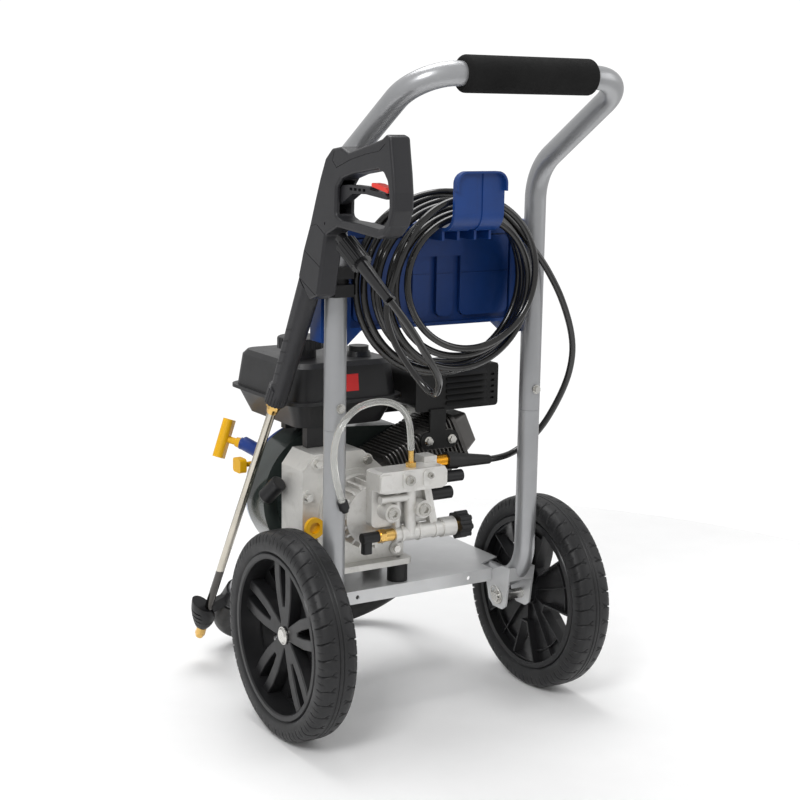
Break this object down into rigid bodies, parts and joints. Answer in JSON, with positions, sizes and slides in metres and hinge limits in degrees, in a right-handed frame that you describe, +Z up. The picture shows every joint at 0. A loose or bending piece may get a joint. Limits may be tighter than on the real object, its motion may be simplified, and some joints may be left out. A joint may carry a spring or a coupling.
{
  "type": "pressure washer",
  "caption": "Petrol pressure washer on a two-wheel tube cart, with engine and pump, coiled high-pressure hose on a hook, and spray gun with wand.",
  "frame": {"origin": "on the floor, at the middle of the footprint", "axes": "+Z up, +X along the axle away from the spray gun, -Y towards the operator's handle, +Y towards the front foot"},
  "size_m": [0.4983, 0.6875, 0.9665],
  "materials": {
    "frame_paint": "satin silver-grey",
    "plate_paint": "satin silver-grey",
    "zinc": "zinc plated",
    "steel": "machined",
    "tyre": "moulded",
    "rim_black": "satin",
    "foam": "foam",
    "rubber": "matt",
    "blue_plastic": "satin",
    "black_plastic": "satin",
    "grey_plastic": "satin",
    "red_plastic": "satin",
    "yellow_plastic": "satin",
    "brass": "machined",
    "casting": "bead blasted",
    "black_metal": "satin black",
    "housing_paint": "gloss dark green-grey",
    "hose_rubber": "semi-gloss",
    "clear_hose": "clear vinyl",
    "cast_iron": "machined"
  },
  "bodies": {
    "frame": {"lower_frame": "frame_paint", "front_foot": "rubber", "handle_tube": "frame_paint", "handle_grip": "foam", "base_plate": "plate_paint", "axle_brackets": "plate_paint", "axle_pins": "zinc", "frame_fasteners": "zinc", "hose_panel": "blue_plastic", "hose_hook": "blue_plastic", "gun_shell_left": "grey_plastic", "gun_shell_right": "grey_plastic", "gun_valve": "brass", "wand_grip": "black_plastic", "wand_brass": "brass", "wand_tube": "steel", "wand_clip": "black_plastic", "wand_holster": "black_plastic", "fuel_tank_upper": "black_metal", "fuel_tank_lower": "black_metal", "crankcase": "casting", "side_cover": "casting", "engine_mounts": "rubber", "cylinder": "casting", "valve_cover": "casting", "blower_housing": "housing_paint", "recoil_cover": "black_plastic", "muffler": "black_metal", "heat_shield": "black_metal", "exhaust_flange": "steel", "engine_bolts": "zinc", "carburettor": "casting", "air_filter": "black_plastic", "oil_alert_unit": "black_plastic", "pump_body": "casting", "pump_manifold": "casting", "pump_fittings": "brass", "pump_valves": "black_plastic", "gun_hose": "hose_rubber", "pump_hose": "hose_rubber", "siphon_hose": "clear_hose", "hose_coil": "hose_rubber", "gun_hose_fitting": "black_plastic", "hose_boot": "rubber", "siphon_strainer": "black_plastic"},
    "left_wheel": {"left_tyre": "tyre", "left_rim": "rim_black"},
    "right_wheel": {"right_tyre": "tyre", "right_rim": "rim_black"},
    "crank": {"crankshaft": "steel", "flywheel": "cast_iron"},
    "trigger": {"trigger": "grey_plastic"},
    "trigger_lock": {"trigger_lock": "red_plastic"},
    "starter_handle": {"pull_handle": "yellow_plastic"},
    "starter_reel": {"starter_reel": "black_plastic"},
    "fuel_cap": {"fuel_cap": "black_plastic"},
    "dipstick": {"dipstick": "yellow_plastic"},
    "inlet_knob": {"inlet_knob": "black_plastic"},
    "fuel_lever": {"fuel_lever": "yellow_plastic"},
    "spray_nozzle": {"spray_nozzle": "black_plastic"}
  },
  "joints": [
    {"name": "left_wheel_spin", "type": "hinge", "parent": "frame", "child": "left_wheel", "pos_m": [-0.2204, -0.07274, 0.1525], "axis": [1, 0, 0], "continuous": true},
    {"name": "right_wheel_spin", "type": "hinge", "parent": "frame", "child": "right_wheel", "pos_m": [0.2204, -0.07274, 0.1525], "axis": [1, 0, 0], "continuous": true},
    {"name": "crank_spin", "type": "hinge", "parent": "frame", "child": "crank", "pos_m": [-0.092, 0.01726, 0.315], "axis": [0, -1, 0], "continuous": true},
    {"name": "trigger_pull", "type": "hinge", "parent": "frame", "child": "trigger", "pos_m": [-0.208, -0.18474, 0.786], "axis": [-1, 0, 0], "range_deg": [0, 4], "stiffness_Nm_per_rad": 3, "springref_deg": -8.59},
    {"name": "trigger_lock_flip", "type": "hinge", "parent": "trigger", "child": "trigger_lock", "pos_m": [-0.208, -0.27624, 0.8034], "axis": [-1, 0, 0], "range_deg": [0, 10]},
    {"name": "starter_pull", "type": "slide", "parent": "frame", "child": "starter_handle", "axis": [-0.6304, 0.7516, 0.194], "range_m": [0, 0.05], "stiffness_N_per_m": 120, "springref_m": -0.03},
    {"name": "starter_reel_turn", "type": "hinge", "parent": "frame", "child": "starter_reel", "pos_m": [-0.092, 0.14626, 0.315], "axis": [0, 1, 0], "range_deg": [0, 82]},
    {"name": "fuel_cap_turn", "type": "hinge", "parent": "frame", "child": "fuel_cap", "pos_m": [-0.126, 0.07726, 0.551], "axis": [0, 0, 1], "continuous": true},
    {"name": "dipstick_turn", "type": "hinge", "parent": "frame", "child": "dipstick", "pos_m": [-0.166, -0.03274, 0.296], "axis": [0, -1, 0], "continuous": true},
    {"name": "inlet_knob_turn", "type": "hinge", "parent": "frame", "child": "inlet_knob", "pos_m": [0.048, -0.10474, 0.289], "axis": [1, 0, 0], "continuous": true},
    {"name": "fuel_lever_turn", "type": "hinge", "parent": "frame", "child": "fuel_lever", "pos_m": [-0.196, 0.13926, 0.356], "axis": [-1, 0, 0], "range_deg": [0, 45]},
    {"name": "spray_nozzle_pull", "type": "slide", "parent": "frame", "child": "spray_nozzle", "axis": [0, 0, 1], "range_m": [0, 0.03]}
  ],
  "couplings": [
    {"joint": "starter_reel_turn", "follows": "starter_pull", "rad_per_m": 27.5}
  ]
}
